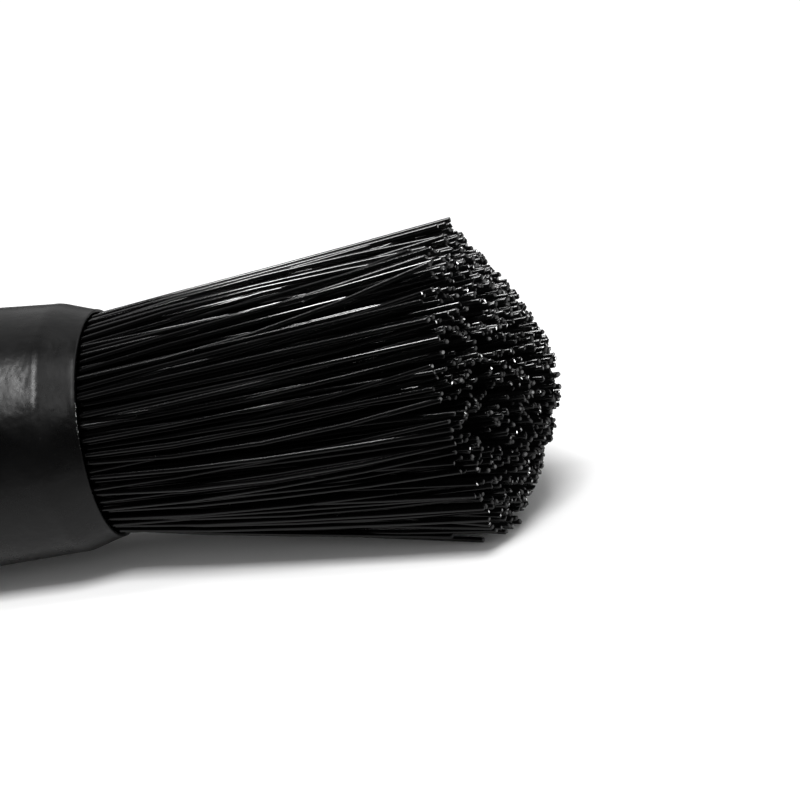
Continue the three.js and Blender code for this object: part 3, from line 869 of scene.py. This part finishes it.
class BRUSH_OT_press_tail(bpy.types.Operator):
    """Press the tail cap flat into its tab and bore its hanging hole"""

    bl_idname = "brush.press_tail"
    bl_label = "Press Tail Cap"

    def execute(self, context):
        size = context.scene.brush_handle
        front = SLEEVE_BACK - size.cap_gap
        plug_front = cap_high.x - RIM_X
        centre = cap_low.x - RIM_X + size.tab_radius
        profile = []
        for step in range(TAB_END_STEPS + 1):
            angle = math.pi / 2 * step / TAB_END_STEPS
            profile.append((centre - size.tab_radius * math.cos(angle), size.tab_radius * math.sin(angle)))
        for step in range(1, TAB_TAPER_STEPS + 1):
            t = step / TAB_TAPER_STEPS
            radius = size.tab_radius + (CAP_RADIUS - size.tab_radius) * t
            profile.append((centre + (front - centre) * t, radius))
        profile += [(front, size.plug_radius), (plug_front, size.plug_radius), (plug_front, 0.0)]
        bm = spun(profile, size.around)
        round_ring(bm, front, CAP_RADIUS, size.cap_edge)
        self.flatten(bm, size, front)
        self.bore(bm, size)
        shade(bm, TAIL_CRISP_ANGLE)
        material = moulded_plastic("cap_plastic", context.scene.brush_finish)
        add_piece("tail", "grip", bm, material, "cap_plastic", "tail_cap")
        return {"FINISHED"}

    def flatten(self, bm, size, front):
        """Presses the tail flat along its ramp, and leaves the flange's face and the plug round."""
        for vert in bm.verts:
            station = vert.co.x - RIM_X
            if station > front - FLANGE_FACE:
                continue
            t = min(max((size.ramp_front - station) / (size.ramp_front - size.ramp_back), 0.0), 1.0)
            still_round = (1 + math.cos(math.pi * t)) / 2
            half = size.tab_half + (CAP_RADIUS + RAMP_CLEARANCE - size.tab_half) * still_round
            press_flat(vert, half, TAB_SOFTNESS * (1 - RAMP_SOFTNESS_LOSS * still_round))

    def bore(self, bm, size):
        """Cuts the hole, with its edges eased, by a boolean whose result goes back into the bmesh."""
        half = size.tab_half
        ease = size.hole_ease
        knee = 0.35 * ease
        overshoot = 3 * ease
        flare = 3.6 * ease
        profile = [
            (-half - overshoot, size.hole_radius + flare),
            (-half, size.hole_radius + ease),
            (-half + knee, size.hole_radius + knee),
            (-half + ease, size.hole_radius),
        ]
        profile += [(-height, radius) for height, radius in reversed(profile)]
        cutter = bmesh.new()
        points = [cutter.verts.new((radius, 0, height)) for height, radius in profile]
        edges = [cutter.edges.new(pair) for pair in zip(points, points[1:])]
        bmesh.ops.spin(cutter, geom=points + edges, cent=(0, 0, 0), axis=(0, 0, 1), angle=FULL_TURN,
                       steps=HOLE_STEPS, use_merge=True)
        bmesh.ops.remove_doubles(cutter, verts=cutter.verts, dist=TINY)
        bmesh.ops.holes_fill(cutter, edges=cutter.edges, sides=0)
        bmesh.ops.recalc_face_normals(cutter, faces=cutter.faces)
        bmesh.ops.translate(cutter, verts=cutter.verts, vec=(RIM_X + size.hole_station, 0, AXIS_Z))
        body_mesh = bpy.data.meshes.new("tail_body")
        bm.to_mesh(body_mesh)
        cutter_mesh = bpy.data.meshes.new("hole_cutter")
        cutter.to_mesh(cutter_mesh)
        cutter.free()
        body = bpy.data.objects.new("tail_body", body_mesh)
        tool = bpy.data.objects.new("hole_cutter", cutter_mesh)
        for made in (body, tool):
            bpy.context.scene.collection.objects.link(made)
        cut = body.modifiers.new("hole", "BOOLEAN")
        cut.operation = "DIFFERENCE"
        cut.solver = "EXACT"
        cut.object = tool
        bored = body.evaluated_get(bpy.context.evaluated_depsgraph_get())
        result = bpy.data.meshes.new_from_object(bored)
        bm.clear()
        bm.from_mesh(result)
        for made in (body, tool):
            bpy.data.objects.remove(made)
        for mesh in (body_mesh, cutter_mesh, result):
            bpy.data.meshes.remove(mesh)


class BRUSH_OT_finish_inside(bpy.types.Operator):
    """Give the core, the band and the resin inside the brush their finishes"""

    bl_idname = "brush.finish_inside"
    bl_label = "Finish Inside"

    def execute(self, context):
        finishes = {
            "handle_core": core_plastic(),
            "root_band": band_steel(),
            "resin_plug": potting_resin(),
        }
        for node, material in finishes.items():
            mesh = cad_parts[node].data
            mesh.materials.clear()
            mesh.materials.append(material)
        return {"FINISHED"}


class BRUSH_OT_set_stage(bpy.types.Operator):
    """Set the floor, the soft lights and the camera"""

    bl_idname = "brush.set_stage"
    bl_label = "Set Stage"

    def execute(self, context):
        stage = context.scene.brush_stage
        self.lay_floor(stage)
        for name, (power, size, place, lit) in LAMPS.items():
            self.hang_light(name, power, size, place, group(lit))
        self.fill_room(context.scene, stage)
        self.aim_camera(context.scene, stage)
        context.scene.view_settings.view_transform = "Standard"
        return {"FINISHED"}

    def lay_floor(self, stage):
        """A pale paper floor, which the brush mirrors greyer than it looks and near black further in front:
        painted shade in the brush's reflections and in the light that the floor bounces onto it.
        """
        finish = Finish("floor_paper")
        here = finish.place()
        fibres = finish.noise(here, scale=90, detail=3.0)
        paper = finish.mix(fibres * 0.3, stage.floor, stage.floor_fibres)
        # The lens sees paper. Every other ray sees the darker mirrored colour, which is painted shade in the
        # brush's reflections of the floor.
        seen = finish.node("ShaderNodeLightPath", output="Is Camera Ray")
        fade_start, fade_end = stage.floor_fade
        ahead = finish.between(0 - finish.part(here, "Y"), fade_start, fade_end)
        mirrored = finish.mix(ahead, stage.floor_bounce, stage.mirrored_shade_ahead)
        finish.fill(finish.surface, {
            "Base Color": finish.mix(seen, mirrored, paper),
            "Roughness": 0.9,
            "Specular IOR Level": 0.0,
        })
        bm = bmesh.new()
        bmesh.ops.create_grid(bm, x_segments=1, y_segments=1, size=stage.floor_half)
        mesh = bpy.data.meshes.new("floor")
        bm.to_mesh(mesh)
        bm.free()
        mesh.materials.append(finish.material)
        floor = bpy.data.objects.new("floor", mesh)
        group("floor").objects.link(floor)

    def hang_light(self, name, power, size, place, lit):
        """A soft light that faces the rim, level with the brush's length, and lights one group."""
        light = bpy.data.lights.new(name, "AREA")
        light.energy = power
        light.shape = "RECTANGLE"
        light.size, light.size_y = size
        away = Vector(place).normalized()
        up = away.cross(Vector((1, 0, 0))).normalized()
        facing = Matrix((up.cross(away), up, away)).transposed().to_4x4()
        lamp = bpy.data.objects.new(name, light)
        lamp.matrix_world = Matrix.Translation(Vector((RIM_X, 0, AXIS_Z)) + Vector(place)) @ facing
        lamp.visible_camera = False
        lamp.light_linking.receiver_collection = lit
        bpy.context.scene.collection.objects.link(lamp)

    def fill_room(self, scene, stage):
        """A faint white light from all round."""
        scene.world = bpy.data.worlds.new("room")
        scene.world.use_nodes = True
        room = scene.world.node_tree.nodes["Background"]
        room.inputs["Color"].default_value = (1, 1, 1, 1)
        room.inputs["Strength"].default_value = stage.room

    def aim_camera(self, scene, stage):
        """The camera, turned round the aim point and rolled."""
        camera = bpy.data.objects.new("camera", bpy.data.cameras.new("camera"))
        camera.data.lens = stage.lens
        camera.data.clip_start = NEAREST
        camera.data.clip_end = FURTHEST
        level_share = math.cos(stage.elevation)
        back = Vector((math.sin(stage.azimuth) * level_share, -math.cos(stage.azimuth) * level_share,
                       math.sin(stage.elevation)))
        level = (-back).to_track_quat("-Z", "Y").to_matrix().to_4x4()
        turn = level @ Matrix.Rotation(stage.roll, 4, "Z")
        camera.matrix_world = Matrix.Translation(Vector(stage.aim) + back * stage.distance) @ turn
        scene.collection.objects.link(camera)
        scene.camera = camera


class BRUSH_PT_panel(bpy.types.Panel):
    """The brush's steps and settings"""

    bl_idname = "BRUSH_PT_panel"
    bl_label = "Drivetrain Brush"
    bl_space_type = "VIEW_3D"
    bl_region_type = "UI"
    bl_category = "Brush"

    def draw(self, context):
        for operator in OPERATORS:
            self.layout.operator(operator.bl_idname)
        for name in SETTINGS:
            box = self.layout.box()
            settings = getattr(context.scene, name)
            for prop in settings.__annotations__:
                box.prop(settings, prop)


SETTINGS = {
    "brush_knot": KnotSettings,
    "brush_handle": HandleSettings,
    "brush_finish": FinishSettings,
    "brush_stage": StageSettings,
}
OPERATORS = (
    BRUSH_OT_set_stage,
    BRUSH_OT_turn_collar,
    BRUSH_OT_mould_grip,
    BRUSH_OT_press_tail,
    BRUSH_OT_grow_knot,
    BRUSH_OT_finish_inside,
)
CLASSES = (*SETTINGS.values(), *OPERATORS, BRUSH_PT_panel)


def register():
    for kind in CLASSES:
        bpy.utils.register_class(kind)
    for name, settings in SETTINGS.items():
        setattr(bpy.types.Scene, name, bpy.props.PointerProperty(type=settings))


def unregister():
    for name in SETTINGS:
        delattr(bpy.types.Scene, name)
    for kind in reversed(CLASSES):
        bpy.utils.unregister_class(kind)


def main():
    register()
    bpy.ops.brush.set_stage()
    bpy.ops.brush.turn_collar()
    bpy.ops.brush.mould_grip()
    bpy.ops.brush.press_tail()
    bpy.ops.brush.grow_knot()
    bpy.ops.brush.finish_inside()


if __name__ == "__main__":
    main()
